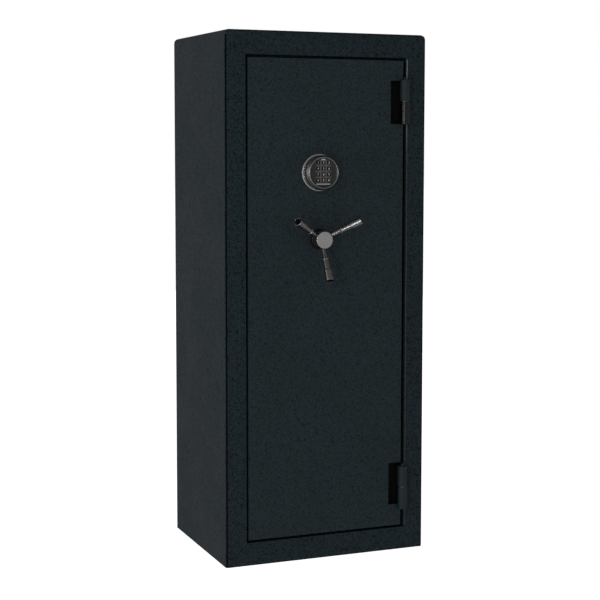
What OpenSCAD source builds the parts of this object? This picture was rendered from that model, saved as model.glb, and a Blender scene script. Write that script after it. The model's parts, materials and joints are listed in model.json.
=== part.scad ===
// Upright gun safe: fire-lined steel body, one door on two external barrel hinges,
// round keypad lock and a three-spoke handle that throws the door bolts.
// X runs to the right across the door, Y into the safe and Z up from the floor.
// The origin is the centre of the body's footprint. At rest the door is closed, its
// bolts are drawn in and its lock is open.

/* [Body] */
// Width of the body
body_w = 610; // [600:1:620]
// Depth of the body, without the handle and keypad
body_d = 483; // [475:1:500]
// Height of the body
body_h = 1500; // [1490:1:1520]
// Width of the frame at each side of the door opening
frame_side = 61; // [58:1:64]
// Height of the frame above the door opening
frame_top = 67; // [62:1:70]
// Height of the frame below the door opening
frame_bottom = 65; // [62:1:70]
// Radius of the two long edges of the top
top_edge_r = 15; // [10:1:20]
// Radius of the upright edges and the front edge of the top
front_edge_r = 8; // [5:0.5:9]
// Thickness of the body's sheet steel
sheet_t = 3; // [2:0.5:3.5]
// Thickness of the fireboard behind the steel
fireboard_t = 32; // [24:1:34]
// Thickness of a carpeted liner panel
liner_t = 4; // [3:0.5:5]

/* [Door] */
// Gap between door and frame on the latch side
gap_latch = 6; // [5:0.5:7]
// Gap between door and frame on the hinge side
gap_hinge = 10; // [9:0.5:10]
// Gap above the door
gap_top = 8; // [6:0.5:9]
// Gap below the door
gap_bottom = 7; // [6:0.5:9]
// How far the door's face sits behind the frame's face
door_recess = 1; // [0.5:0.5:2]
// Thickness of the door plate
plate_t = 4; // [3:0.5:5]
// Depth of the door pan, from its face to the ends of its folded edges
pan_depth = 31; // [30:0.5:32]

/* [Hinges] */
// Outside diameter of a hinge knuckle
knuckle_d = 26; // [24:1:27]
// Height of a whole hinge
hinge_h = 127; // [120:1:130]
// Height of the lower hinge's foot above the floor
hinge_low_z = 123; // [118:1:130]
// Height of the upper hinge's foot above the floor
hinge_high_z = 1243; // [1230:1:1250]

/* [Bolts] */
// Diameter of the door bolts
bolt_d = 30; // [25:1:32]
// Radius of the drive pinion's pitch circle
pinion_pitch_r = 16; // [16:1:16]

/* [Handle and keypad] */
// Position of the handle and keypad left of the body's centre
lock_x = -26; // [-30:1:-20]
// Height of the handle's shaft
handle_z = 919.5; // [915:0.5:925]
// Height of the keypad's centre
keypad_z = 1107.5; // [1100:0.5:1115]
// Diameter of the keypad's drum
keypad_d = 98; // [96:1:100]
// Side of one square key
key_w = 10.5; // [10:0.1:11]
// Distance from key to key
key_pitch = 16.4; // [16:0.1:16.6]

/* [Hidden] */
KEYS = ["key_1", "key_2", "key_3", "key_4", "key_5", "key_6",
        "key_7", "key_8", "key_9", "key_star", "key_0", "key_hash"];
$fn = 64;

paint = "#262f32";
bare_steel = "#9a9c9b";
dark_steel = "#4a4c4d";
satin_nickel = "#8b8984";
board = "#d9d4c6";
carpet = "#3c3d40";

y_front = -body_d / 2;
y_back = body_d / 2;
inner_x = body_w / 2 - sheet_t;
inner_back = y_back - sheet_t;
inner_top = body_h - sheet_t;

// Door opening in the frame
open_x = body_w / 2 - frame_side;
open_low = frame_bottom;
open_high = body_h - frame_top;

// Door pan, which is a plate with its four edges folded back
door_left = gap_latch - open_x;
door_right = open_x - gap_hinge;
door_low = open_low + gap_bottom;
door_high = open_high - gap_top;
door_y = y_front + door_recess;
pan_back = door_y + pan_depth;

// Stop flange behind the door, with the seal on it
seal_t = 3.5;
seal_w = 12;
seal_gap = 0.3;
flange_front = pan_back + seal_gap + seal_t;
flange_t = 3;
flange_back = flange_front + flange_t;
flange_x = open_x - 19;
flange_low = open_low + 23;
flange_high = open_high - 18;
board_gap = 0.2;

// Cavity between the liners
cavity_x = inner_x - fireboard_t - liner_t;
cavity_back = inner_back - fireboard_t - liner_t;
cavity_low = sheet_t + fireboard_t + liner_t;
cavity_high = inner_top - fireboard_t - liner_t;

// Shelves, slotted rails and barrel rack
shelf_t = 18;
shelf_back = cavity_back - 6;
shelf_front = shelf_back - 316;
top_shelf_z = 1180;
divider_x = 28;
divider_w = 16;
side_shelf_zs = [330, 612, 894];
rail_w = 16;
rail_t = 3;
rail_inset = 40;
rail_ys = [shelf_front + rail_inset, shelf_back - rail_inset];
rail_low = 70;
rail_high = top_shelf_z + 80;
slot_w = 6;
slot_h = 16;
slot_pitch = 42;
clip_w = 12;
clip_h = 12;
clip_reach = 12;
panel_play = 0.5;
rack_z = 862;
rack_t = 24;
rack_depth = 92;
rack_count = 4;
rack_pitch = 66;
rack_notch_r = 19;
rack_notch_depth = 40;
rack_mid = (divider_x - cavity_x) / 2;
rack_notch_xs = [for (i = [0 : rack_count - 1]) rack_mid + (i - (rack_count - 1) / 2) * rack_pitch];
rest_t = 36;
rest_inset = 70;
wrench_hole_r = 20;

// Anchor holes through the floor
anchor_x = 400;
anchor_y = 260;
anchor_r = 6.5;

// Bolt box on the back of the door
bolt_r = bolt_d / 2;
inner_plate_t = 3;
pan_play = 0.3;
box_x = 215;
box_wall = 4;
box_low = flange_low + 10;
box_high = flange_high - 10;
box_back = pan_back + 50;
bolt_y = flange_back + 4 + bolt_r;
bolt_play = 0.3;
live_bolt_zs = [for (i = [0 : 4]) 200 + 275 * i];
dead_bolt_zs = [for (i = [0 : 3]) 330 + 280 * i];
dead_bolt_r = 12;
dead_bolt_l = 20;
bolt_bevel = 2;
lip_w = 24;
lip_t = 3;
cover_t = 6;
cover_inset = 8;
cover_x = box_x - 7;
cover_z0 = box_low + cover_inset;
cover_z1 = box_high - cover_inset;
screw_r = 2.5;
screw_head_r = 6;
screw_head_t = 2;
screw_inset_x = 10;
screw_inset_z = 30;
screw_rows = 5;

// Pockets on the cover: left edge, width, foot and height of each
pocket_t = 12;
pocket_w = 170;
pocket_xs = [-180, 10];
pockets = [for (row = [[200, 240], [520, 260], [1120, 200]], x = pocket_xs) [x, pocket_w, row.x, row.y]];
wide_pocket = [-180, 360, 880, 160];

// Hinges
knuckle_r = knuckle_d / 2;
hinge_x = open_x - 11;
hinge_y = y_front - knuckle_r - 0.5;
pin_r = 5;
pin_play = 0.05;
pin_proud = 2;
pin_tip_r = 2.5;
pin_tip_h = 6;
door_leaf_w = 8;
frame_leaf_x = 6;
frame_leaf_w = 14;
washer_h = 2;
frame_knuckle_h = 65;
split_h = frame_knuckle_h + washer_h;
hinge_feet = [hinge_low_z, hinge_high_z];
notch_lifts = [12, 2];
notch_h = 123;
notch_x = open_x - 49;
notch_depth = 23;
notch_wall = 3;

// Handle shaft and what turns with it
shaft_r = 8;
shaft_play = 0.05;
shaft_front = door_y - 34;
shaft_tail = 6;
bushing_r = 11;
bushing_collar_r = 13.5;
bushing_collar_t = 2;
ring_groove_w = 1.5;
ring_groove_r = 6.8;
ring_r = 12;
ring_t = 1.3;
ring_gap_w = 6;

// Pinion and rack teeth
pinion_teeth = 16;
gear_module = 2 * pinion_pitch_r / pinion_teeth;
pinion_front = pan_back + 14;
pinion_back = pan_back + 30;
pressure = 20;
backlash = 0.5;
dedendum = 1.15 * gear_module;
base_r = pinion_pitch_r * cos(pressure);
tip_r = pinion_pitch_r + 0.9 * gear_module;
root_r = pinion_pitch_r - dedendum;
flank_steps = 4;
flank_rs = [for (i = [0 : flank_steps]) base_r + (tip_r - base_r) * i / flank_steps];

// Escutcheon, hub and spokes, measured outwards from the door's face
boss_r = 29;
boss_t = 13;
hub_r = 22;
disc_r = 24.2;
hub_front = 45;
spoke_turns = [30, 150, 270];
spoke_start_r = 14;
spoke_start_k = 27;
spoke_lift = 29.5;
spoke_root = 5;
spoke_l = 112;

// Carriage that carries the live bolts
bar_x = -183;
bar_w = 14;
bar_t = 16;
bar_over = 40;
stem_r = 6;
stem_head_r = 10;
stem_head_t = 6;
arm_end = 22;
arm_h = 14;
lug_play = 3;
lug_w = 8;
rack_teeth = 14;
rack_pitch_z = handle_z + pinion_pitch_r;
rack_back_z = rack_pitch_z + dedendum;

// Lock behind the keypad
lock_w = 64;
lock_h = 84;
lock_t = 30;
lock_bolt_w = 12;
lock_bolt_front = pan_back + 12;
lock_bolt_back = pan_back + 22;
lock_bolt_h = 34;
lock_bolt_proud = 1.5;
lock_slot_h = 46;
lock_play = 0.1;
lug_x = lock_x + lock_bolt_w / 2 + lug_play;
lock_foot = keypad_z - lock_h / 2;
lock_screw_r = 3;
lock_screw_head_r = 5;
lock_screw_head_t = 4;
lock_screw_inset = 8;
lock_screw_places = [for (x = [-1, 1], z = [-1, 1])
    [lock_x + x * (lock_w / 2 - lock_screw_inset), keypad_z + z * (lock_h / 2 - lock_screw_inset)]];
hard_w = 110;
hard_h = 120;
hard_front = pan_back - 9.5;

// Keypad, measured outwards from the door's face
keypad_r = keypad_d / 2;
key_rise = 3.5;
base_r_out = 52.5;
base_t = 4;
cable_hole_r = 6;
drum_front = 36;
dish_r = 42;
face_r = 44;
face_t = 3;
face_k = 32;
lip_r = 7;
floor_k = base_t + 1.5;
key_places = [for (row = [0 : 3], col = [0 : 2]) [(col - 1) * key_pitch, (1.5 - row) * key_pitch + key_rise]];
key_proud = 1.5;
key_hole_w = key_w + 0.7;
flange_over = 1.2;
light_size = [12, 4, 1.5];
light_up = 36.7;
cable_r = 2;

// Battery tray, which slides out of the drum's underside
tray_k = 5.5;
tray_t = 18;
tray_w = 31;
tray_low = -keypad_r - 1;
tray_high = -keypad_r + 53;
tray_play = 0.3;
tray_wall = 2;
tray_front_wall = 6;
battery_play = 0.2;

// Box between two opposite corners.
module span(low, high) {
    translate(low) cube(high - low);
}

// Puts what it holds on the door's face at height z, its own Z axis pointing outwards.
module on_door(z) {
    translate([lock_x, door_y, z]) rotate([90, 0, 0]) children();
}

// Cylinder along X from x0 to x1.
module rod_x(x0, x1, y, z, r) {
    translate([x0, y, z]) rotate([0, 90, 0]) cylinder(h = x1 - x0, r = r);
}

// Cylinder along Y from y0 to y1.
module rod_y(y0, y1, x, z, r) {
    translate([x, y0, z]) rotate([-90, 0, 0]) cylinder(h = y1 - y0, r = r);
}

// Rectangle with all four corners round.
module round_rectangle(low, high, r) {
    translate(low + [r, 0]) square(high - low - [2 * r, 0]);
    translate(low + [0, r]) square(high - low - [0, 2 * r]);
    for (x = [low.x + r, high.x - r], y = [low.y + r, high.y - r])
        translate([x, y]) circle(r);
}

// Body's outer form, drawn in by "inset" at its sides and top and let down by it at its foot.
module body_form(inset) {
    side = body_w / 2 - inset;
    top = body_h - inset;
    front = y_front + inset;
    back = y_back - inset;
    below = -2 * top_edge_r;
    intersection() {
        rotate([90, 0, 0]) linear_extrude(2 * body_d, center = true)
            round_rectangle([-side, below], [side, top], top_edge_r - inset);
        translate([0, 0, -inset]) linear_extrude(body_h)
            round_rectangle([-side, front], [side, back], front_edge_r - inset);
        rotate([90, 0, 90]) linear_extrude(2 * body_w, center = true)
            round_rectangle([front, below], [back, top], front_edge_r - inset);
    }
}

module body_skin() difference() {
    body_form(0);
    body_form(sheet_t);
}

// Four upright holes for the anchor bolts, through everything on the floor.
module anchor_holes() {
    for (x = [-anchor_x / 2, anchor_x / 2], y = [-anchor_y / 2, anchor_y / 2])
        translate([x, y, -1]) cylinder(h = cavity_low + 2, r = anchor_r);
}

// ---- Body ----

module body_wrap() color(paint) intersection() {
    body_skin();
    span([-body_w, y_front + front_edge_r, -1], [body_w, y_back - front_edge_r, body_h + 1]);
}

module front_frame() color(paint) difference() {
    intersection() {
        body_skin();
        span([-body_w, y_front - 1, -1], [body_w, y_front + front_edge_r, body_h + 1]);
    }
    span([-open_x, y_front - 1, open_low], [open_x, y_front + front_edge_r + 1, open_high]);
}

module back_panel() color(paint) intersection() {
    body_skin();
    span([-body_w, y_back - front_edge_r, -1], [body_w, y_back + 1, body_h + 1]);
}

module floor_plate() color(paint) difference() {
    span([-inner_x, y_front + front_edge_r, 0], [inner_x, y_back - front_edge_r, sheet_t]);
    anchor_holes();
}

// Sleeve round the opening, with a flange behind it that stops the door.
module door_jamb() color(paint) difference() {
    union() {
        span([-open_x - sheet_t, y_front + sheet_t, open_low - sheet_t],
             [open_x + sheet_t, flange_back, open_high + sheet_t]);
        span([-cavity_x - liner_t, flange_front, cavity_low - liner_t],
             [cavity_x + liner_t, flange_back, cavity_high + liner_t]);
    }
    span([-open_x, y_front, open_low], [open_x, flange_front, open_high]);
    span([-flange_x, y_front, flange_low], [flange_x, flange_back + 1, flange_high]);
}

module door_seal() color("#1b1c1d") difference() {
    outer_x = open_x - 3;
    outer_low = door_low - 3;
    outer_high = door_high + 3;
    span([-outer_x, flange_front - seal_t, outer_low], [outer_x, flange_front, outer_high]);
    span([seal_w - outer_x, flange_front - seal_t - 1, outer_low + seal_w],
         [outer_x - seal_w, flange_front + 1, outer_high - seal_w]);
}

module wall_fireboards() color(board) {
    front = flange_back + board_gap;
    back = inner_back - fireboard_t;
    low = sheet_t + fireboard_t + board_gap;
    top = inner_top - fireboard_t;
    side = inner_x - fireboard_t;
    for (turn = [0, 1]) mirror([turn, 0, 0])
        span([side, front, low], [inner_x, back - board_gap, top - board_gap]);
    span([-side, back, low], [side, inner_back, top - board_gap]);
    span([-side, front, top], [side, y_back - front_edge_r, inner_top]);
}

module floor_fireboard() color(board) difference() {
    span([-inner_x, flange_back, sheet_t], [inner_x, y_back - front_edge_r, sheet_t + fireboard_t]);
    anchor_holes();
}

module wall_liners() color(carpet) {
    front = flange_back + board_gap;
    seam = 0.1;
    side = cavity_x + liner_t;
    for (turn = [0, 1]) mirror([turn, 0, 0])
        span([cavity_x, front, cavity_low], [side, cavity_back, cavity_high]);
    span([-side, cavity_back + seam, cavity_low], [side, cavity_back + liner_t, cavity_high]);
    span([-side, front, cavity_high + seam], [side, cavity_back + liner_t, cavity_high + liner_t]);
}

module floor_liner() color(carpet) difference() {
    span([-cavity_x - liner_t, flange_back, cavity_low - liner_t],
         [cavity_x + liner_t, cavity_back + liner_t, cavity_low]);
    anchor_holes();
}

// ---- Interior ----

// Slotted rail with its back at x, facing the way of "side".
module rail(x, y, high, side) {
    difference() {
        span([min(x, x + side * rail_t), y - rail_w / 2, rail_low],
             [max(x, x + side * rail_t), y + rail_w / 2, high]);
        for (z = [rail_low + slot_h : slot_pitch : high - slot_h])
            span([x - rail_t - 1, y - slot_w / 2, z - slot_h / 2],
                 [x + rail_t + 1, y + slot_w / 2, z + slot_h / 2]);
    }
}

module shelf_standards() color(bare_steel) for (y = rail_ys) {
    rail(cavity_x, y, rail_high, -1);
    rail(-cavity_x, y, rail_high, 1);
    rail(divider_x + divider_w, y, top_shelf_z - slot_h, 1);
}

// Clip under a shelf at height z, on a rail whose face is at x.
module clip(x, y, z, side) {
    span([min(x, x + side * clip_reach), y - clip_w / 2, z - clip_h],
         [max(x, x + side * clip_reach), y + clip_w / 2, z - 0.05]);
}

module shelf_clips() color(bare_steel) for (y = rail_ys) {
    clip(cavity_x - rail_t, y, top_shelf_z, -1);
    clip(-cavity_x + rail_t, y, top_shelf_z, 1);
    for (z = side_shelf_zs) {
        clip(cavity_x - rail_t, y, z, -1);
        clip(divider_x + divider_w + rail_t, y, z, 1);
    }
}

module top_shelf() color(carpet)
    span([-cavity_x + rail_t + panel_play, shelf_front, top_shelf_z],
         [cavity_x - rail_t - panel_play, shelf_back, top_shelf_z + shelf_t]);

module side_shelves() color(carpet) for (z = side_shelf_zs)
    span([divider_x + divider_w + rail_t + panel_play, shelf_front, z],
         [cavity_x - rail_t - panel_play, shelf_back, z + shelf_t]);

module divider() color(carpet)
    span([divider_x, shelf_front, cavity_low], [divider_x + divider_w, shelf_back, top_shelf_z - board_gap]);

module barrel_rack() color(carpet) difference() {
    front = cavity_back - rack_depth;
    span([-cavity_x + rail_t + panel_play, front, rack_z],
         [divider_x - panel_play, cavity_back - panel_play, rack_z + rack_t]);
    for (x = rack_notch_xs) {
        translate([x, front + rack_notch_depth, rack_z - 1]) cylinder(h = rack_t + 2, r = rack_notch_r);
        span([x - rack_notch_r, front - 1, rack_z - 1],
             [x + rack_notch_r, front + rack_notch_depth, rack_z + rack_t + 1]);
    }
}

// Padded block under the gunstocks, with a hole for the wrench that reaches an anchor bolt.
module stock_rest() color(carpet) difference() {
    span([-cavity_x + rail_t + 1, shelf_front + rest_inset, cavity_low],
         [divider_x - 2, cavity_back - 2, cavity_low + rest_t]);
    translate([-anchor_x / 2, anchor_y / 2, cavity_low - 1]) cylinder(h = rest_t + 2, r = wrench_hole_r);
}

// ---- Hinges ----

module frame_knuckles() color(paint) for (foot = hinge_feet) translate([hinge_x, hinge_y, foot]) {
    difference() {
        union() {
            cylinder(h = frame_knuckle_h, r = knuckle_r);
            span([frame_leaf_x, 3, 0], [frame_leaf_x + frame_leaf_w, y_front - hinge_y, frame_knuckle_h]);
        }
        translate([0, 0, -1]) cylinder(h = frame_knuckle_h + 2, r = pin_r);
    }
}

module door_knuckles() color(paint) for (foot = hinge_feet) translate([hinge_x, hinge_y, foot]) {
    difference() {
        union() {
            translate([0, 0, split_h]) cylinder(h = hinge_h - split_h, r = knuckle_r);
            span([-knuckle_r, 0, split_h],
                 [-knuckle_r + door_leaf_w, door_y + notch_depth - hinge_y, hinge_h - 2]);
        }
        translate([0, 0, split_h - 1]) cylinder(h = hinge_h, r = pin_r + pin_play);
    }
}

module hinge_pins() color(bare_steel) for (foot = hinge_feet) translate([hinge_x, hinge_y, foot]) {
    cylinder(h = hinge_h + pin_proud, r = pin_r);
    translate([0, 0, hinge_h + pin_proud]) cylinder(h = pin_tip_h, r1 = pin_r, r2 = pin_tip_r);
}

module hinge_washers() color("#8a7136") for (foot = hinge_feet)
    translate([hinge_x, hinge_y, foot + frame_knuckle_h]) difference() {
        cylinder(h = washer_h - 0.05, r = knuckle_r - 2);
        translate([0, 0, -1]) cylinder(h = washer_h + 2, r = pin_r);
    }

// ---- Door ----

// Hollow in the door's face for each hinge, with "wall" round its sides and back.
module hinge_notches(wall, front, right) for (i = [0, 1]) {
    low = hinge_feet[i] + notch_lifts[i];
    span([notch_x - wall, front, low - wall], [right, door_y + notch_depth + wall, low + notch_h + wall]);
}

module door_plate() color(paint) difference() {
    union() {
        difference() {
            span([door_left, door_y, door_low], [door_right, pan_back, door_high]);
            span([door_left + plate_t, door_y + plate_t, door_low + plate_t],
                 [door_right - plate_t, pan_back + 1, door_high - plate_t]);
        }
        hinge_notches(notch_wall, door_y, door_right);
    }
    hinge_notches(0, door_y - 1, door_right + 1);
    rod_y(door_y - 1, door_y + plate_t + 1, lock_x, handle_z, bushing_r);
    rod_y(door_y - 1, door_y + plate_t + 1, lock_x, keypad_z, cable_hole_r);
}

module door_fireboard() color(board) difference() {
    edge = plate_t + pan_play;
    back = pan_back - inner_plate_t - board_gap;
    span([door_left + edge, door_y + plate_t, door_low + edge], [door_right - edge, back, door_high - edge]);
    hinge_notches(notch_wall + pan_play, door_y, door_right + 1);
    rod_y(door_y, pan_back, lock_x, handle_z, bushing_collar_r + 0.5);
    rod_y(door_y, pan_back, lock_x, keypad_z, cable_hole_r + 2);
    hard_plate_form(board_gap);
}

// Hard plate with "play" all round it.
module hard_plate_form(play) {
    back = pan_back - inner_plate_t - board_gap;
    span([lock_x - hard_w / 2 - play, hard_front - play, keypad_z - hard_h / 2 - play],
         [lock_x + hard_w / 2 + play, back + play, keypad_z + hard_h / 2 + play]);
}

module hard_plate() color(dark_steel) difference() {
    hard_plate_form(0);
    rod_y(door_y, pan_back, lock_x, keypad_z, cable_hole_r + 2);
}

// Inner door plate with a shallow box on its back, which guides the bolts.
module bolt_box() color(dark_steel) difference() {
    union() {
        edge = plate_t + pan_play;
        plate_front = pan_back - inner_plate_t;
        span([door_left + edge, plate_front, door_low + edge],
             [door_right - edge, pan_back, door_high - edge]);
        difference() {
            span([-box_x, plate_front, box_low], [box_x, box_back, box_high]);
            span([-box_x + box_wall, plate_front - 1, box_low + box_wall],
                 [box_x - box_wall, box_back - lip_t, box_high - box_wall]);
            span([-box_x + lip_w, pan_back, box_low + lip_w],
                 [box_x - lip_w, box_back + 1, box_high - lip_w]);
        }
    }
    for (z = live_bolt_zs) rod_x(-box_x - 1, -box_x + box_wall + 1, bolt_y, z, bolt_r + bolt_play);
    for (z = dead_bolt_zs) rod_x(box_x - box_wall - 1, box_x + 1, bolt_y, z, dead_bolt_r);
    rod_y(pan_back - inner_plate_t - 1, pan_back + 1, lock_x, handle_z, bushing_r);
    rod_y(pan_back - inner_plate_t - 1, pan_back + 1, lock_x, keypad_z, cable_hole_r);
    cover_screw_places() rod_y(box_back - lip_t - 1, box_back + 1, 0, 0, screw_r);
}

module dead_bolts() color(bare_steel) for (z = dead_bolt_zs) {
    bevel_x = box_x + dead_bolt_l - bolt_bevel;
    rod_x(box_x - box_wall, bevel_x, bolt_y, z, dead_bolt_r);
    translate([bevel_x, bolt_y, z]) rotate([0, 90, 0])
        cylinder(h = bolt_bevel, r1 = dead_bolt_r, r2 = dead_bolt_r - bolt_bevel);
    rod_x(box_x - 2 * box_wall, box_x - box_wall, bolt_y, z, dead_bolt_r + box_wall);
}

// Two columns of screws that hold the cover to the box's lips.
module cover_screw_places() {
    low = box_low + screw_inset_z;
    pitch = (box_high - screw_inset_z - low) / (screw_rows - 1);
    for (x = [-cover_x + screw_inset_x, cover_x - screw_inset_x], i = [0 : screw_rows - 1])
        translate([x, 0, low + i * pitch]) children();
}

module door_cover() color(carpet) difference() {
    span([-cover_x, box_back, cover_z0], [cover_x, box_back + cover_t, cover_z1]);
    cover_screw_places() rod_y(box_back - 1, box_back + cover_t + 1, 0, 0, screw_r);
}

module cover_screws() color(bare_steel) cover_screw_places() {
    rod_y(box_back - lip_t, box_back + cover_t, 0, 0, screw_r);
    translate([0, box_back + cover_t, 0]) rotate([-90, 0, 0])
        cylinder(h = screw_head_t, r1 = screw_head_r, r2 = screw_head_r - screw_head_t);
}

module door_pockets() color("#2c2d30") for (p = concat(pockets, [wide_pocket]))
    span([p[0], box_back + cover_t, p[2]], [p[0] + p[1], box_back + cover_t + pocket_t, p[2] + p[3]]);

// ---- Lock ----

module lock_case() color(bare_steel) difference() {
    span([lock_x - lock_w / 2, pan_back, lock_foot],
         [lock_x + lock_w / 2, pan_back + lock_t, lock_foot + lock_h]);
    span([lock_x - lock_bolt_w / 2 - lock_play, lock_bolt_front - lock_play, lock_foot - 1],
         [lock_x + lock_bolt_w / 2 + lock_play, lock_bolt_back + lock_play, lock_foot + lock_slot_h]);
    for (p = lock_screw_places) rod_y(pan_back + 4, pan_back + lock_t + 1, p.x, p.y, lock_screw_r);
}

module lock_screws() color(dark_steel) for (p = lock_screw_places) {
    head_y = pan_back + lock_t;
    rod_y(pan_back + 4.5, head_y, p.x, p.y, lock_screw_r);
    difference() {
        rod_y(head_y, head_y + lock_screw_head_t, p.x, p.y, lock_screw_head_r);
        translate([p.x, head_y + lock_screw_head_t / 2, p.y]) rotate([-90, 0, 0])
            cylinder(h = lock_screw_head_t, r = lock_screw_head_r / 2, $fn = 6);
    }
}

module lock_bolt() color("#a08a4a")
    span([lock_x - lock_bolt_w / 2, lock_bolt_front, lock_foot - lock_bolt_proud],
         [lock_x + lock_bolt_w / 2, lock_bolt_back, lock_foot + lock_bolt_h]);

module keypad_cable() color("#191a1b")
    rod_y(door_y - base_t + 0.5, pan_back, lock_x, keypad_z, cable_r);

// ---- Bolt work ----

module live_bolts() color(bare_steel) for (z = live_bolt_zs) {
    translate([-box_x, bolt_y, z]) rotate([0, 90, 0])
        cylinder(h = bolt_bevel, r1 = bolt_r - bolt_bevel, r2 = bolt_r);
    rod_x(-box_x + bolt_bevel, bar_x, bolt_y, z, bolt_r);
    rod_x(bar_x, bar_x + bar_w, bolt_y, z, stem_r);
    rod_x(bar_x + bar_w, bar_x + bar_w + stem_head_t, bolt_y, z, stem_head_r);
}

// Rack tooth pointing down from the pitch line, about x = 0.
module rack_tooth() {
    addendum = 0.8 * gear_module;
    half = PI * gear_module / 4 - backlash / 2;
    slope = tan(pressure);
    polygon([[-half - dedendum * slope, dedendum], [-half + addendum * slope, -addendum],
             [half - addendum * slope, -addendum], [half + dedendum * slope, dedendum]]);
}

// Upright bar that carries the bolts, with the rack and the lug that the lock blocks.
module bolt_carriage() color(dark_steel) difference() {
    union() {
        span([bar_x, bolt_y - bar_t / 2, live_bolt_zs[0] - bar_over],
             [bar_x + bar_w, bolt_y + bar_t / 2, live_bolt_zs[4] + bar_over]);
        span([bar_x, pinion_front, rack_back_z - 0.01], [arm_end, pinion_back, rack_back_z + arm_h]);
        translate([lock_x, pinion_back, rack_pitch_z]) rotate([90, 0, 0])
            linear_extrude(pinion_back - pinion_front)
                for (i = [0 : rack_teeth - 1])
                    translate([(i + 0.5 - rack_teeth / 2) * PI * gear_module, 0]) rack_tooth();
        span([lug_x, pan_back + 14, rack_back_z], [lug_x + lug_w, pan_back + 20, lock_foot - lug_play]);
    }
    for (z = live_bolt_zs) rod_x(bar_x - 1, bar_x + bar_w + 1, bolt_y, z, stem_r);
}

// ---- Handle ----

function involute(a) = tan(a) * 180 / PI - a;
function polar(r, a) = [r * cos(a), r * sin(a)];

// Half the angle one pinion tooth spans at radius r.
function tooth_half(r) = 90 / pinion_teeth - backlash / 2 / pinion_pitch_r * 180 / PI
    + involute(pressure) - involute(acos(min(1, base_r / r)));

// Outline of the pinion tooth that points at the angle "at".
function tooth(at) = concat(
    [polar(root_r, at - tooth_half(base_r))],
    [for (r = flank_rs) polar(r, at - tooth_half(r))],
    [for (i = [flank_steps : -1 : 0]) polar(flank_rs[i], at + tooth_half(flank_rs[i]))],
    [polar(root_r, at + tooth_half(base_r))]);

module drive_pinion() color(bare_steel) translate([lock_x, pinion_back, handle_z]) rotate([90, 0, 0])
    difference() {
        linear_extrude(pinion_back - pinion_front)
            polygon([for (k = [0 : pinion_teeth - 1]) each tooth(90 + k * 360 / pinion_teeth)]);
        translate([0, 0, -1]) cylinder(h = pinion_back - pinion_front + 2, r = shaft_r);
    }

module handle_shaft() color(bare_steel) difference() {
    rod_y(shaft_front, pinion_back + shaft_tail, lock_x, handle_z, shaft_r);
    translate([lock_x, pinion_back + shaft_tail / 2, handle_z]) rotate([-90, 0, 0]) difference() {
        cylinder(h = ring_groove_w, r = shaft_r + 1);
        translate([0, 0, -1]) cylinder(h = ring_groove_w + 2, r = ring_groove_r);
    }
}

// Snap ring in the shaft's groove.
module shaft_ring() color(dark_steel)
    translate([lock_x, pinion_back + shaft_tail / 2 + 0.1, handle_z]) rotate([-90, 0, 0]) difference() {
        cylinder(h = ring_t, r = ring_r);
        translate([0, 0, -1]) cylinder(h = ring_t + 2, r = ring_groove_r);
        translate([-ring_gap_w / 2, -ring_r - 1, -1]) cube([ring_gap_w, ring_r, ring_t + 2]);
    }

// Bushing through a plate of thickness t whose front is at y, with a collar behind the plate.
module bushing(y, t) difference() {
    union() {
        rod_y(y, y + t, lock_x, handle_z, bushing_r);
        rod_y(y + t, y + t + bushing_collar_t, lock_x, handle_z, bushing_collar_r);
    }
    rod_y(y - 1, y + t + bushing_collar_t + 1, lock_x, handle_z, shaft_r + shaft_play);
}

module shaft_bushings() color("#9c7a3c") {
    bushing(door_y, plate_t);
    bushing(pan_back - inner_plate_t, inner_plate_t);
}

module handle_boss() color(dark_steel) on_door(handle_z) rotate_extrude(angle = 360)
    polygon([[shaft_r + 0.3, 0], [boss_r, 0], [boss_r, 4], [boss_r - 2, 6], [boss_r - 3, boss_t - 2],
             [boss_r - 5, boss_t], [shaft_r + 0.3, boss_t]]);

module handle_hub() color(satin_nickel) difference() {
    hub_back = boss_t + 0.5;
    on_door(handle_z) rotate_extrude(angle = 360)
        polygon([[0, hub_back], [hub_r - 2, hub_back], [hub_r, hub_back + 2], [hub_r, hub_front - 7],
                 [disc_r, hub_front - 5], [disc_r, hub_front - 1.2], [disc_r - 1.2, hub_front],
                 [0, hub_front]]);
    rod_y(shaft_front, door_y, lock_x, handle_z, shaft_r);
    for (turn = spoke_turns) spoke_place(turn) cylinder(h = 24, r = spoke_root);
}

// A spoke leaves the hub outwards and away from the door.
module spoke_place(turn) {
    on_door(handle_z) rotate([0, 0, turn]) translate([spoke_start_r, 0, spoke_start_k])
        rotate([0, 90 - spoke_lift, 0]) children();
}

// Each spoke has a root in the hub, a taper, a bead and a grip with a dished end.
module handle_spokes() color(satin_nickel) for (turn = spoke_turns) spoke_place(turn)
    rotate_extrude(angle = 360)
        polygon([[0, 0], [spoke_root, 0], [spoke_root, 17], [6.2, 17], [7.6, 42],
                 [9, 44], [9.2, 48], [8.1, 50],
                 [9.4, spoke_l - 34], [10.8, spoke_l - 32], [11.8, spoke_l - 2], [10.8, spoke_l - 0.5],
                 [9, spoke_l], [7, spoke_l - 2], [0, spoke_l - 2]]);

// ---- Keypad ----

module keypad_base() color(satin_nickel) on_door(keypad_z) rotate_extrude(angle = 360)
    polygon([[cable_hole_r - 1, 0], [base_r_out, 0], [base_r_out, base_t - 1.5], [base_r_out - 1.5, base_t],
             [cable_hole_r - 1, base_t]]);

// Half section of a ring from radius r0 to r1, and outwards from k0 to k1.
module ring_section(r0, r1, k0, k1) {
    translate([r0, k0]) square([r1 - r0, k1 - k0]);
}

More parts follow.
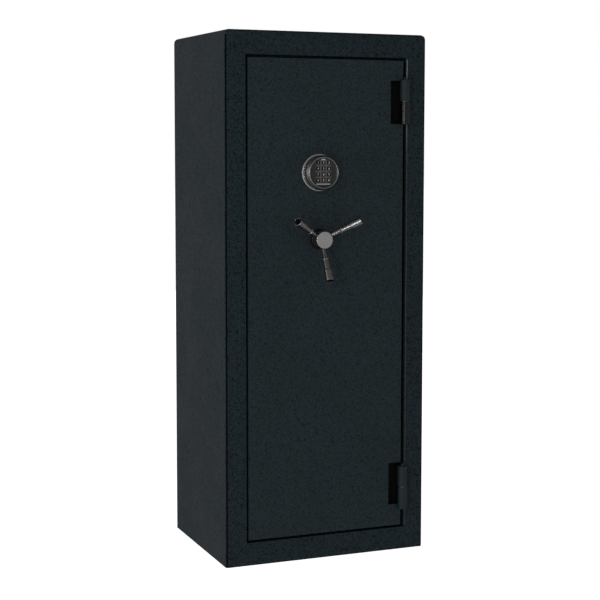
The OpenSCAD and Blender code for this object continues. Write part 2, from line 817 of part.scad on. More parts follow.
// Drum with a thin floor, a rounded lip and a slot for the battery tray below.
module keypad_housing() color(satin_nickel) difference() {
    inside_r = face_r + 0.1;
    on_door(keypad_z) rotate_extrude(angle = 360) {
        ring_section(cable_hole_r - 1, keypad_r - 3, base_t, floor_k);
        ring_section(inside_r, keypad_r - 3, base_t, base_t + 3);
        ring_section(inside_r, keypad_r, base_t + 2, drum_front - lip_r);
        intersection() {
            translate([keypad_r - lip_r, drum_front - lip_r]) circle(lip_r);
            union() {
                ring_section(inside_r, keypad_r, drum_front - lip_r - 1, drum_front);
                ring_section(dish_r, keypad_r, face_k, drum_front);
            }
        }
    }
    on_door(keypad_z) span([-tray_w / 2 - tray_play, -base_r_out, tray_k - tray_play],
                           [tray_w / 2 + tray_play, 0, tray_k + tray_t + tray_play]);
}

module keypad_face() color("#232527") on_door(keypad_z) difference() {
    translate([0, 0, face_k - face_t]) cylinder(h = face_t, r = face_r);
    for (p = key_places)
        translate([p.x, p.y, face_k]) cube([key_hole_w, key_hole_w, 3 * face_t], center = true);
    translate([0, light_up, face_k]) cube([light_size.x, light_size.y, 2], center = true);
}

module keypad_light() color("#c7c9c6")
    on_door(keypad_z) translate([0, light_up, face_k - 0.25]) cube(light_size, center = true);

// Key cap with a flange behind the face that keeps it in.
module key_cap(i) color("#1d1f20") on_door(keypad_z) translate([key_places[i].x, key_places[i].y, 0]) {
    half = key_w / 2;
    wide = half + flange_over;
    back = face_k - face_t;
    span([-half, -half, back - 1], [half, half, face_k + key_proud]);
    span([-wide, -wide, back - 1.3], [wide, wide, back - 0.05]);
}

module battery_tray() color("#2a2b2d") on_door(keypad_z) intersection() {
    inside_x = tray_w / 2 - tray_wall;
    difference() {
        span([-tray_w / 2, tray_low, tray_k], [tray_w / 2, tray_high, tray_k + tray_t]);
        span([-inside_x, tray_low + tray_front_wall, tray_k - 1],
             [inside_x, tray_high - tray_wall, tray_k + tray_t + 1]);
    }
    cylinder(h = 60, r = keypad_r + 1);
}

module battery() color("#6d7072") on_door(keypad_z) {
    inside_x = tray_w / 2 - tray_wall - battery_play;
    span([-inside_x, tray_low + tray_front_wall + battery_play, tray_k + battery_play],
         [inside_x, tray_high - tray_wall - battery_play, tray_k + tray_t - battery_play]);
}

body_wrap();
front_frame();
back_panel();
floor_plate();
door_jamb();
door_seal();
wall_fireboards();
floor_fireboard();
wall_liners();
floor_liner();
shelf_standards();
shelf_clips();
top_shelf();
side_shelves();
divider();
barrel_rack();
stock_rest();
frame_knuckles();
hinge_pins();
hinge_washers();
door_plate();
door_fireboard();
bolt_box();
dead_bolts();
door_cover();
door_pockets();
cover_screws();
door_knuckles();
hard_plate();
lock_case();
lock_screws();
keypad_cable();
shaft_bushings();
handle_boss();
keypad_base();
keypad_housing();
keypad_face();
keypad_light();
battery_tray();
battery();
handle_hub();
handle_spokes();
handle_shaft();
drive_pinion();
shaft_ring();
bolt_carriage();
live_bolts();
lock_bolt();
for (i = [0 : len(KEYS) - 1]) {
    key_cap(i);
}
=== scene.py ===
"""Looks of the gun safe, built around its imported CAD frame.

Everything is in metres in the frame's own axes: X right across the door, Y into the safe, Z up.
Places and sizes come from the boxes of the CAD nodes and from the joints.
"""

import json
import math

import bmesh
import bpy
from mathutils import Matrix, Vector

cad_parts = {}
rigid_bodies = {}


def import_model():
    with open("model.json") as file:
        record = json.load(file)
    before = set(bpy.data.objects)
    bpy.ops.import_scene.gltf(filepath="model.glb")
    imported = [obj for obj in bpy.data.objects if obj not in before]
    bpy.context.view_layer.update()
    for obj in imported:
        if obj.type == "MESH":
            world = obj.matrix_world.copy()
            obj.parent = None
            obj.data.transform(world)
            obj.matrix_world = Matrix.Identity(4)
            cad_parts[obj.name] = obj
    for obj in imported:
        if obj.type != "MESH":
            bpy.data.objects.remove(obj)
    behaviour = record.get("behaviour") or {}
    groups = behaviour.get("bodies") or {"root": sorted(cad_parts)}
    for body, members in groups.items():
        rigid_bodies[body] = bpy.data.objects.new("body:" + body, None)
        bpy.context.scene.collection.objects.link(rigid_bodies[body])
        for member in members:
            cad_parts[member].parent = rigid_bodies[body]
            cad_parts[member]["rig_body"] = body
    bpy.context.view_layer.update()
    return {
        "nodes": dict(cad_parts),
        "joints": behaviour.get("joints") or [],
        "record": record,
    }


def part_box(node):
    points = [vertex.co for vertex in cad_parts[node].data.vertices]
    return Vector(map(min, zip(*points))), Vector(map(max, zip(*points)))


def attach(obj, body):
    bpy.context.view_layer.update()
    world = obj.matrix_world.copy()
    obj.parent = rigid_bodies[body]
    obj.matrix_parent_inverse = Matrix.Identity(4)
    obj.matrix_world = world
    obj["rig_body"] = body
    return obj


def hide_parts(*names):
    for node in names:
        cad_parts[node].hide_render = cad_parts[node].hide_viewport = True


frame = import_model()
MM = 0.001
SAME_POINT = 1e-6
SEAM = 1e-7
JOINTS = {joint["name"]: joint for joint in frame["joints"]}


# ---------------------------------------------------------------- frame measures


def box_centre(node):
    low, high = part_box(node)
    return (low + high) / 2


def solids(node):
    """Boxes of the separate solids in a CAD node, from low to high."""
    bm = bmesh.new()
    bm.from_mesh(frame["nodes"][node].data)
    bmesh.ops.remove_doubles(bm, verts=bm.verts, dist=SAME_POINT)
    unseen = set(bm.verts)
    found = []
    while unseen:
        stack = [unseen.pop()]
        points = []
        while stack:
            vert = stack.pop()
            points.append(vert.co.copy())
            for edge in vert.link_edges:
                other = edge.other_vert(vert)
                if other in unseen:
                    unseen.discard(other)
                    stack.append(other)
        low = Vector([min(p[i] for p in points) for i in range(3)])
        high = Vector([max(p[i] for p in points) for i in range(3)])
        found.append((low, high))
    bm.free()
    return sorted(found, key=lambda pair: (round(pair[0].z, 4), round(pair[0].x, 4), round(pair[0].y, 4)))


BODY_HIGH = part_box("body_wrap")[1]
DOOR_LOW, DOOR_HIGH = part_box("door_plate")
FRONT_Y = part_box("front_frame")[0].y
BACK_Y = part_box("back_panel")[1].y
TOP_Z = BODY_HIGH.z
SIDE_X = BODY_HIGH.x
DOOR_Y = DOOR_LOW.y
LOCK_X = JOINTS["handle_turn"]["pos_m"][0]
HANDLE_Z = JOINTS["handle_turn"]["pos_m"][2]
KEYPAD_Z = box_centre("keypad_base").z
HINGE_X, HINGE_Y = JOINTS["door_swing"]["pos_m"][:2]
KEYS = ["key_" + sign for sign in (*"123456789", "star", "0", "hash")]


# ---------------------------------------------------------------- camera


CAMERA_AT = (-1.6076, -4.1269, 1.2037)
CAMERA_YAW = math.radians(23.037)
CAMERA_PITCH = math.radians(-5.061)
CAMERA_ROLL = math.radians(0.198)
SENSOR_MM, LENS_MM = 36, 89.25
CAMERA_SHIFT = (-0.07, -0.05)


def make_camera():
    """Camera that sees the box edges where the photograph does."""
    data = bpy.data.cameras.new("camera")
    data.sensor_width = SENSOR_MM
    data.lens = LENS_MM
    data.shift_x, data.shift_y = CAMERA_SHIFT
    camera = bpy.data.objects.new("camera", data)
    turn = (
        Matrix.Rotation(-CAMERA_YAW, 4, "Z")
        @ Matrix.Rotation(math.pi / 2 + CAMERA_PITCH, 4, "X")
        @ Matrix.Rotation(CAMERA_ROLL, 4, "Z")
    )
    camera.matrix_world = Matrix.Translation(CAMERA_AT) @ turn
    bpy.context.scene.collection.objects.link(camera)
    bpy.context.scene.camera = camera


make_camera()


# ---------------------------------------------------------------- materials


def srgb(*values):
    """Linear colour from sRGB values of 0 to 255."""
    linear = [((v / 255 + 0.055) / 1.055) ** 2.4 if v > 10.3 else v / 255 / 12.92 for v in values]
    return (*linear, 1)


def set_range(node, low, high, to_low, to_high):
    """Fills in the four ends of a Map Range node."""
    for name, value in (("From Min", low), ("From Max", high), ("To Min", to_low), ("To Max", to_high)):
        node.inputs[name].default_value = value


def shaded(colour, share):
    """A colour made darker or lighter by a share of itself."""
    return tuple(min(1, c * share) for c in colour[:3]) + (1,)


class Nodes:
    """A material's node tree, with short calls for what the materials here use."""

    def __init__(self, name):
        self.material = bpy.data.materials.new(name)
        self.material.use_nodes = True
        self.tree = self.material.node_tree
        self.shader = self.tree.nodes["Principled BSDF"]
        self.place = self.add("ShaderNodeTexCoord").outputs["Object"]

    def add(self, kind, **settings):
        node = self.tree.nodes.new(kind)
        for key, value in settings.items():
            setattr(node, key, value)
        return node

    def join(self, source, target):
        self.tree.links.new(source, target)

    def noise(self, scale, detail, rough, distortion=0.0, place=None):
        node = self.add("ShaderNodeTexNoise")
        node.inputs["Scale"].default_value = scale
        node.inputs["Detail"].default_value = detail
        node.inputs["Roughness"].default_value = rough
        node.inputs["Distortion"].default_value = distortion
        self.join(place or self.place, node.inputs["Vector"])
        return node.outputs["Fac"]

    def voronoi(self, scale):
        node = self.add("ShaderNodeTexVoronoi")
        node.inputs["Scale"].default_value = scale
        self.join(self.place, node.inputs["Vector"])
        return node.outputs["Distance"]

    def wave(self, scale, direction, distortion):
        node = self.add("ShaderNodeTexWave", bands_direction=direction)
        node.inputs["Scale"].default_value = scale
        node.inputs["Distortion"].default_value = distortion
        self.join(self.place, node.inputs["Vector"])
        return node.outputs["Fac"]

    def stretched(self, scale, turn=(0, 0, 0)):
        """Texture space made longer by scale along axes that are turned first."""
        node = self.add("ShaderNodeMapping", vector_type="TEXTURE")
        node.inputs["Scale"].default_value = scale
        node.inputs["Rotation"].default_value = turn
        self.join(self.place, node.inputs["Vector"])
        return node.outputs["Vector"]

    def math(self, operation, a, b=0.0):
        node = self.add("ShaderNodeMath", operation=operation)
        for socket, value in zip(node.inputs, (a, b)):
            if isinstance(value, (int, float)):
                socket.default_value = value
            else:
                self.join(value, socket)
        return node.outputs[0]

    def spread(self, value, low, high, to_low=0.0, to_high=1.0):
        """Smooth step of a value: low and high go to to_low and to_high."""
        node = self.add("ShaderNodeMapRange", interpolation_type="SMOOTHSTEP")
        self.join(value, node.inputs["Value"])
        set_range(node, low, high, to_low, to_high)
        return node.outputs["Result"]

    def mix(self, factor, a, b):
        node = self.add("ShaderNodeMix", data_type="RGBA")
        self.join(factor, node.inputs["Factor"])
        for socket, value in ((node.inputs["A"], a), (node.inputs["B"], b)):
            if isinstance(value, tuple):
                socket.default_value = value
            else:
                self.join(value, socket)
        return node.outputs["Result"]

    def bump(self, height, distance, strength):
        node = self.add("ShaderNodeBump")
        node.inputs["Distance"].default_value = distance
        node.inputs["Strength"].default_value = strength
        self.join(height, node.inputs["Height"])
        return node.outputs["Normal"]

    def finish(self, colour, rough, normal=None, metal=0.0, **fixed):
        """The finished material; fixed sets other sockets by name."""
        for name, value in (("Base Color", colour), ("Roughness", rough)):
            socket = self.shader.inputs[name]
            if isinstance(value, (tuple, float, int)):
                socket.default_value = value
            else:
                self.join(value, socket)
        self.shader.inputs["Metallic"].default_value = metal
        for name, value in fixed.items():
            self.shader.inputs[name.replace("_", " ")].default_value = value
        if normal is not None:
            self.join(normal, self.shader.inputs["Normal"])
        return self.material


def hammered_paint(name, colour, worm_scale, depth, rough, crease_painted_shade):
    """Powder coat with a raised leathery skin, broken by winding creases that lean to the right."""
    n = Nodes(name)
    leaning = n.stretched((1, 1, 1.7), (math.radians(-20), math.radians(-42), 0))
    wide = n.noise(worm_scale, 1.0, 0.4, 0.9, leaning)
    crease = n.math("ABSOLUTE", n.math("SUBTRACT", wide, 0.5))
    skin = n.spread(crease, 0.0, 0.075)
    pebble = n.noise(worm_scale * 2.3, 1.0, 0.5, 0.3, leaning)
    height = n.math("ADD", skin, n.math("MULTIPLY", pebble, 0.4))
    patches = n.noise(5.5, 3.0, 0.55)
    base = n.mix(n.spread(patches, 0.3, 0.7), colour, shaded(colour, 1.12))
    # painted shade: the creases' colour is darkened, standing for shade in their grooves
    tint = n.mix(skin, shaded(colour, crease_painted_shade), base)
    roughness = n.spread(patches, 0.3, 0.7, rough - 0.03, rough + 0.05)
    n.join(n.spread(skin, 0.0, 1.0, 0.07, 0.17), n.shader.inputs["Specular IOR Level"])
    return n.finish(tint, roughness, n.bump(height, depth, 1.0), Specular_Tint=(0.82, 1.0, 1.0, 1))


def smooth_paint(name, colour, rough, shine=0.5):
    """Plain sprayed paint with slight orange peel."""
    n = Nodes(name)
    peel = n.noise(420, 2.0, 0.5)
    patches = n.noise(14, 3.0, 0.6)
    tint = n.mix(n.spread(patches, 0.35, 0.7), colour, shaded(colour, 1.25))
    roughness = n.spread(patches, 0.2, 0.8, rough - 0.06, rough + 0.06)
    return n.finish(tint, roughness, n.bump(peel, 0.00006, 0.5), Specular_IOR_Level=shine)


def brushed_metal(name, colour, rough, bump=0.00002):
    """Metal with fine drawn lines that lie level, and faint handling marks."""
    n = Nodes(name)
    lines = n.noise(600, 3.0, 0.65, place=n.stretched((1, 1, 0.025)))
    marks = n.noise(45, 4.0, 0.65)
    worn = n.spread(n.math("ADD", lines, n.math("MULTIPLY", marks, 0.6)), 0.5, 1.1)
    tint = n.mix(worn, shaded(colour, 0.8), colour)
    roughness = n.spread(n.math("ADD", lines, marks), 0.6, 1.4, rough - 0.08, rough + 0.1)
    return n.finish(tint, roughness, n.bump(lines, bump, 0.6), metal=1.0)


def carpet_cloth(name, colour, fleck):
    """Short looped carpet: dense tufts with flecks of a lighter yarn."""
    n = Nodes(name)
    tufts = n.voronoi(620)
    fuzz = n.noise(1500, 3.0, 0.7)
    rows = n.noise(160, 2.0, 0.6)
    height = n.math("ADD", n.math("MULTIPLY", tufts, -1.0), n.math("MULTIPLY", fuzz, 0.6))
    spots = n.spread(n.noise(780, 2.0, 0.7), 0.52, 0.68)
    lit = n.spread(n.math("ADD", rows, n.math("MULTIPLY", tufts, -0.8)), 0.0, 0.6)
    yarn = n.mix(lit, shaded(colour, 0.55), colour)
    tint = n.mix(spots, yarn, fleck)
    return n.finish(tint, 0.95, n.bump(height, 0.0007, 0.9), Sheen_Weight=0.25, Sheen_Roughness=0.6)


def woven_cloth(name, colour):
    """Plain weave of thick nylon yarn."""
    n = Nodes(name)
    weave_scale = 900 / 6.28
    warp = n.wave(weave_scale, "X", 0.3)
    weft = n.wave(weave_scale, "Z", 0.3)
    threads = n.math("MAXIMUM", n.math("MULTIPLY", warp, 0.95), weft)
    slub = n.noise(130, 3.0, 0.6)
    lit = n.spread(n.math("ADD", threads, n.math("MULTIPLY", slub, 0.7)), 0.6, 1.5)
    tint = n.mix(lit, shaded(colour, 0.5), colour)
    return n.finish(tint, 0.82, n.bump(threads, 0.00025, 0.7), Sheen_Weight=0.2, Sheen_Roughness=0.5)


def moulded(name, colour, rough, shine=0.5):
    """Moulded plastic or rubber with a fine spark texture."""
    n = Nodes(name)
    spark = n.noise(900, 2.0, 0.6)
    patches = n.noise(30, 3.0, 0.6)
    tint = n.mix(n.spread(patches, 0.35, 0.75), colour, shaded(colour, 1.3))
    roughness = n.spread(patches, 0.3, 0.7, rough - 0.05, rough + 0.06)
    return n.finish(tint, roughness, n.bump(spark, 0.00005, 0.5), Specular_IOR_Level=shine)


def gypsum(name):
    """Fireboard: pale paper face with faint fibres."""
    n = Nodes(name)
    fibres = n.noise(300, 4.0, 0.7, place=n.stretched((1, 1, 6.5)))
    tint = n.mix(n.spread(fibres, 0.35, 0.7), srgb(188, 182, 168), srgb(214, 209, 196))
    return n.finish(tint, 0.9, n.bump(fibres, 0.0001, 0.4))


MATERIALS = {
    "body_paint": hammered_paint("body_paint", srgb(31, 41, 46), 150, 0.00028, 0.45, 0.34),
    "door_paint": hammered_paint("door_paint", srgb(37, 46, 50), 190, 0.00016, 0.48, 0.52),
    "hinge_paint": smooth_paint("hinge_paint", srgb(36, 44, 47), 0.5, 0.14),
    "bare_steel": brushed_metal("bare_steel", (0.5, 0.49, 0.48, 1), 0.24),
    # near black: on the notch linings and door leaves this darkness is painted shade inside the hinge
    # notches
    "inner_steel": smooth_paint("inner_steel", srgb(9, 10, 11), 0.6, 0.15),
    # also the strip on the jamb's edge, which is a painted highlight
    "hard_steel": brushed_metal("hard_steel", (0.13, 0.14, 0.15, 1), 0.45),
    "satin_nickel": brushed_metal("satin_nickel", (0.44, 0.43, 0.42, 1), 0.3),
    "polished_nickel": brushed_metal("polished_nickel", (0.24, 0.235, 0.23, 1), 0.25, bump=0.000008),
    "dark_chrome": brushed_metal("dark_chrome", (0.035, 0.035, 0.035, 1), 0.09, bump=0.000002),
    "brass": brushed_metal("brass", (0.62, 0.45, 0.2, 1), 0.32),
    "fireboard": gypsum("fireboard"),
    "carpet": carpet_cloth("carpet", srgb(78, 79, 84), srgb(128, 128, 130)),
    "pocket_cloth": woven_cloth("pocket_cloth", srgb(52, 53, 57)),
    # also the near-black strips on the two front corners, which are painted shade
    "seal": moulded("seal", srgb(9, 9, 10), 0.8, 0.03),
    "keypad_black": moulded("keypad_black", srgb(19, 20, 21), 0.4),
    "key_rubber": moulded("key_rubber", srgb(12, 13, 14), 0.65, 0.12),
    # also the pale strip under the keys, which is a painted highlight
    "light_lens": moulded("light_lens", srgb(160, 159, 155), 0.4),
    "tray_plastic": moulded("tray_plastic", srgb(44, 45, 47), 0.5),
    "battery_case": smooth_paint("battery_case", srgb(70, 70, 69), 0.45),
    "cable_jacket": moulded("cable_jacket", srgb(24, 24, 25), 0.5),
}
SLOTS = {sub["node"]: sub["material_slot"] for sub in frame["record"]["subparts"]}


def paint_cad_nodes():
    """Every carried-over CAD node gets its slot's material."""
    for name, obj in frame["nodes"].items():
        obj.data.materials.clear()
        obj.data.materials.append(MATERIALS[SLOTS[name]])


paint_cad_nodes()


# ---------------------------------------------------------------- mesh tools


SHARP = math.radians(32)


def piece(name, bm, body, slot, replaces=(), weighted=True, finish=None):
    """Turns a bmesh into a finished object that rides on a body and stands for CAD nodes.

    Its material is the slot's own, unless finish names another.
    """
    mesh = bpy.data.meshes.new(name)
    bmesh.ops.recalc_face_normals(bm, faces=bm.faces)
    bm.to_mesh(mesh)
    bm.free()
    mesh.shade_smooth()
    mesh.set_sharp_from_angle(angle=SHARP)
    obj = bpy.data.objects.new(name, mesh)
    bpy.context.scene.collection.objects.link(obj)
    mesh.materials.append(MATERIALS[finish or slot])
    if weighted:
        normals = obj.modifiers.new("normals", "WEIGHTED_NORMAL")
        normals.keep_sharp = True
        normals.weight = 80
    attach(obj, body)
    if replaces:
        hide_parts(*replaces)
    return obj


def body_of(node):
    return frame["nodes"][node]["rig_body"]


def cad_mesh(node):
    """The node's mesh, joined up and with its flat faces whole."""
    bm = bmesh.new()
    bm.from_mesh(frame["nodes"][node].data)
    bmesh.ops.remove_doubles(bm, verts=bm.verts, dist=SAME_POINT)
    bmesh.ops.dissolve_limit(bm, angle_limit=math.radians(0.5), verts=bm.verts, edges=bm.edges)
    return bm


def bevel_edges(bm, edges, width, segments, **more):
    bmesh.ops.bevel(bm, geom=edges, offset=width, segments=segments, profile=0.5, affect="EDGES", **more)


def soften(bm, width, segments=2):
    """Rounds every sharp edge of a bmesh."""
    edges = [e for e in bm.edges if len(e.link_faces) == 2 and e.calc_face_angle(0) > SHARP]
    bevel_edges(bm, edges, width, segments, clamp_overlap=True)


def refine(node, width, segments=2):
    """Stands for a CAD node with the same shape and softened edges."""
    bm = cad_mesh(node)
    soften(bm, width, segments)
    return piece(node + "_skin", bm, body_of(node), SLOTS[node], [node])


def add_box(bm, low, high):
    low, high = Vector(low), Vector(high)
    size = high - low
    made = bmesh.ops.create_cube(bm, size=1.0)
    matrix = Matrix.Translation((low + high) / 2) @ Matrix.Diagonal((*size, 1))
    bmesh.ops.transform(bm, matrix=matrix, verts=made["verts"])


def in_mm(points):
    """Profile points given in millimetres, as metres."""
    return [(r * MM, h * MM) for r, h in points]


def arc(centre_r, centre_h, radius, start, end, steps):
    """Points of an arc in a lathe profile, with angles in degrees from the outward direction."""
    points = []
    for i in range(steps + 1):
        a = math.radians(start + (end - start) * i / steps)
        points.append((centre_r + radius * math.cos(a), centre_h + radius * math.sin(a)))
    return points


def add_lathe(bm, profile, place, segments):
    """Turns a profile of (radius, height) points about Z and puts it at the given matrix."""
    rings = []
    for radius, height in profile:
        if radius < SEAM:
            rings.append([bm.verts.new(place @ Vector((0, 0, height)))])
            continue
        ring = []
        for i in range(segments):
            a = 2 * math.pi * i / segments
            ring.append(bm.verts.new(place @ Vector((radius * math.cos(a), radius * math.sin(a), height))))
        rings.append(ring)
    for one, two in zip(rings, rings[1:]):
        for i in range(segments):
            j = (i + 1) % segments
            corners = [one[i % len(one)], one[j % len(one)], two[j % len(two)], two[i % len(two)]]
            unique = list(dict.fromkeys(corners))
            if len(unique) > 2:
                bm.faces.new(unique)


def closed_lathe(bm, profile, place, segments):
    """A lathe whose profile is a closed loop, such as a ring."""
    add_lathe(bm, profile + [profile[0]], place, segments)
    bmesh.ops.remove_doubles(bm, verts=bm.verts, dist=SEAM)


def outwards(x, z):
    """Matrix at the door's face whose Z axis points out of the door."""
    return Matrix.Translation((x, DOOR_Y, z)) @ Matrix.Rotation(math.pi / 2, 4, "X")


def apply_modifiers(obj):
    """Makes an object's mesh what its modifiers show, and drops them."""
    bpy.context.view_layer.update()
    graph = bpy.context.evaluated_depsgraph_get()
    result = bpy.data.meshes.new_from_object(obj.evaluated_get(graph))
    obj.modifiers.clear()
    obj.data = result


def cut(obj, tool, operation="DIFFERENCE"):
    """Applies an exact boolean of a tool object to an object's mesh, and removes the tool."""
    step = obj.modifiers.new("cut", "BOOLEAN")
    step.operation = operation
    step.solver = "EXACT"
    step.object = tool
    apply_modifiers(obj)
    bpy.data.objects.remove(tool)
    return obj


def loose(bm, name="tool"):
    """A plain object from a bmesh, to cut with."""
    mesh = bpy.data.meshes.new(name)
    bmesh.ops.recalc_face_normals(bm, faces=bm.faces)
    bm.to_mesh(mesh)
    bm.free()
    obj = bpy.data.objects.new(name, mesh)
    bpy.context.scene.collection.objects.link(obj)
    return obj


def tool_box(low, high):
    bm = bmesh.new()
    add_box(bm, low, high)
    return loose(bm)


def from_object(obj):
    """A bmesh of an object's mesh; the object goes."""
    bm = bmesh.new()
    bm.from_mesh(obj.data)
    bpy.data.objects.remove(obj)
    return bm


# ---------------------------------------------------------------- body shell


TOP_EDGE_R = 15 * MM
JAMB_EDGE_R = 3.4 * MM
RIM_EDGE_R = 1.6 * MM
DOOR_GAP_SIDE, DOOR_GAP_LOW, DOOR_GAP_HIGH = 6 * MM, 7 * MM, 8 * MM
FRONT_EDGE_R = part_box("front_frame")[1].y - FRONT_Y
SHEET_T = SIDE_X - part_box("floor_plate")[1].x
OPENING_LOW = Vector((DOOR_LOW.x - DOOR_GAP_SIDE, 0, DOOR_LOW.z - DOOR_GAP_LOW))
OPENING_HIGH = Vector((-OPENING_LOW.x, 0, DOOR_HIGH.z + DOOR_GAP_HIGH))


def body_form(inset, foot):
    """Outer form of the body, drawn in by inset, with its upright and top edges rounded."""
    bm = bmesh.new()
    low = (-SIDE_X + inset, FRONT_Y + inset, foot)
    high = (SIDE_X - inset, BACK_Y - inset, TOP_Z - inset)
    add_box(bm, low, high)
    weights = bm.edges.layers.float.new("bevel_weight_edge")
    widest = TOP_EDGE_R - inset
    for edge in bm.edges:
        a, b = edge.verts[0].co, edge.verts[1].co
        upright = abs(a.z - b.z) > SAME_POINT
        on_top = not upright and (a.z + b.z) / 2 > TOP_Z / 2
        along_depth = abs(a.y - b.y) > SAME_POINT
        if on_top and along_depth:
            edge[weights] = 1.0
        elif upright or on_top:
            edge[weights] = (FRONT_EDGE_R - inset) / widest
    obj = loose(bm, "form")
    bevel = obj.modifiers.new("bevel", "BEVEL")
    bevel.limit_method = "WEIGHT"
    bevel.width = widest
    bevel.segments = 10
    apply_modifiers(obj)
    return obj


def on_rim(point):
    """Whether a point lies on the front face within the door opening."""
    return (
        abs(point.y - FRONT_Y) < SAME_POINT
        and OPENING_LOW.x - SAME_POINT < point.x < OPENING_HIGH.x + SAME_POINT
        and OPENING_LOW.z - SAME_POINT < point.z < OPENING_HIGH.z + SAME_POINT
    )


def round_rim(bm):
    """Rounds the front edge of the door opening, most of all beside the hinges."""
    rim = [e for e in bm.edges if all(on_rim(v.co) for v in e.verts) and e.calc_face_angle(0) > SHARP]
    jamb = [e for e in rim if all(abs(v.co.x - OPENING_HIGH.x) < SAME_POINT for v in e.verts)]
    plain = [e for e in rim if e not in jamb]
    bevel_edges(bm, jamb, JAMB_EDGE_R, 3)
    bevel_edges(bm, [e for e in plain if e.is_valid], RIM_EDGE_R, 3)


def body_part(name, node, low, high, opening=False):
    """One welded part of the body: the shell between two corners."""
    shell = cut(body_form(0, 0), body_form(SHEET_T, -SHEET_T))
    cut(shell, tool_box(low, high), operation="INTERSECT")
    if opening:
        cut(shell, tool_box((OPENING_LOW.x, -1, OPENING_LOW.z), (OPENING_HIGH.x, 0, OPENING_HIGH.z)))
    bm = from_object(shell)
    bmesh.ops.dissolve_limit(bm, angle_limit=math.radians(0.3), verts=bm.verts, edges=bm.edges)
    if opening:
        round_rim(bm)
    piece(name, bm, "safe_body", "body_paint", [node])


def corner_strip(name, slot, corner, radius, side, angles, heights):
    """Thin upright strip laid round part of an edge; side is the way the corner faces in x."""
    proud, sunk = 0.12 * MM, 0.4 * MM
    outline = []
    for reach, turn in ((radius + proud, angles), (radius - sunk, reversed(angles))):
        for degrees in turn:
            a = math.radians(degrees)
            outline.append((corner[0] + side * reach * math.sin(a), corner[1] - reach * math.cos(a)))
    bm = bmesh.new()
    foot, head = ([bm.verts.new((x, y, z)) for x, y in outline] for z in heights)
    for i in range(len(outline)):
        j = (i + 1) % len(outline)
        bm.faces.new((foot[i], foot[j], head[j], head[i]))
    bm.faces.new(list(reversed(foot)))
    bm.faces.new(head)
    piece(name, bm, "safe_body", slot, weighted=False)


def make_corner_strips():
    """Painted shade down the two front corners and a painted highlight on the jamb's edge by the hinges.
    """
    span = range(18, 55, 6)
    upright = (1 * MM, TOP_Z - TOP_EDGE_R)
    # painted shade: near-black strips laid on the rounded front corners, where the edges fall dark
    for name, side in (("painted_shade_left", -1), ("painted_shade_right", 1)):
        corner = (side * (SIDE_X - FRONT_EDGE_R), FRONT_Y + FRONT_EDGE_R)
        corner_strip(name, "seal", corner, FRONT_EDGE_R, side, span, upright)
    # painted highlight: a lighter steel strip on the rounded jamb edge stands for its lit edge
    corner = (OPENING_HIGH.x + JAMB_EDGE_R, FRONT_Y + JAMB_EDGE_R)
    between = (OPENING_LOW.z + JAMB_EDGE_R, OPENING_HIGH.z - JAMB_EDGE_R)
    corner_strip("jamb_painted_highlight", "hard_steel", corner, JAMB_EDGE_R, -1, range(4, 89, 12), between)


def make_body():
    seam_front = FRONT_Y + FRONT_EDGE_R
    seam_back = BACK_Y - FRONT_EDGE_R
    body_part("body_wrap_skin", "body_wrap", (-1, seam_front, -1), (1, seam_back, 2))
    body_part("front_frame_skin", "front_frame", (-1, -1, -1), (1, seam_front, 2), opening=True)
    body_part("back_panel_skin", "back_panel", (-1, seam_back, -1), (1, 1, 2))
    refine("door_jamb", 0.8 * MM)
    make_corner_strips()


# ---------------------------------------------------------------- hinges


def knuckle(bm, low, high, bore, radius, chamfer):
    """A round piece on the hinge's line between two heights, bored for the pin."""
    height = high - low
    profile = (
        [(bore, 0.0), (radius - chamfer, 0.0)]
        + arc(radius - chamfer, chamfer, chamfer, -90, 0, 4)[1:]
        + arc(radius - chamfer, height - chamfer, chamfer, 0, 90, 4)
        + [(bore, height)]
    )
    closed_lathe(bm, profile, Matrix.Translation((HINGE_X, HINGE_Y, low)), 64)


HINGE_R = HINGE_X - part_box("frame_knuckles")[0].x
PINS = solids("hinge_pins")
PIN_R = (PINS[0][1].x - PINS[0][0].x) / 2


def make_frame_knuckles():
    """Knuckles welded to the front frame, each with its leaf."""
    leaf_x = HINGE_X + 6 * MM
    trim = 0.5 * MM
    finishes = (("low", "hinge_paint"), ("high", "dark_chrome"))
    for (low, high), (name, slot) in zip(solids("frame_knuckles"), finishes):
        bm = bmesh.new()
        knuckle(bm, low.z, high.z, PIN_R, HINGE_R, 2.4 * MM)
        piece("frame_knuckle_" + name, bm, "safe_body", slot, ["frame_knuckles"])
        bm = bmesh.new()
        leaf_high = (high.x, FRONT_Y + 0.2 * MM, high.z - trim)
        add_box(bm, (leaf_x, HINGE_Y + 3 * MM, low.z + trim), leaf_high)
        soften(bm, 1 * MM)
        piece("frame_leaf_" + name, bm, "safe_body", "hinge_paint", ["frame_knuckles"])


def make_door_knuckles():
    """Knuckles that swing with the door, each with a leaf in the door's notch."""
    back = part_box("door_knuckles")[1].y
    side = HINGE_X - HINGE_R + 2 * MM
    for (low, high), name in zip(solids("door_knuckles"), ("low", "high")):
        bm = bmesh.new()
        knuckle(bm, low.z, high.z, PIN_R + 0.05 * MM, HINGE_R, 1.2 * MM)
        piece("door_knuckle_" + name, bm, "door", "hinge_paint", ["door_knuckles"])
        bm = bmesh.new()
        add_box(bm, (side, HINGE_Y + 4 * MM, low.z + 1 * MM), (side + 6 * MM, back, high.z - 3 * MM))
        soften(bm, 0.8 * MM)
        # the leaf's near-black finish is painted shade inside the hinge notch
        piece("door_leaf_" + name, bm, "door", "inner_steel", ["door_knuckles"])


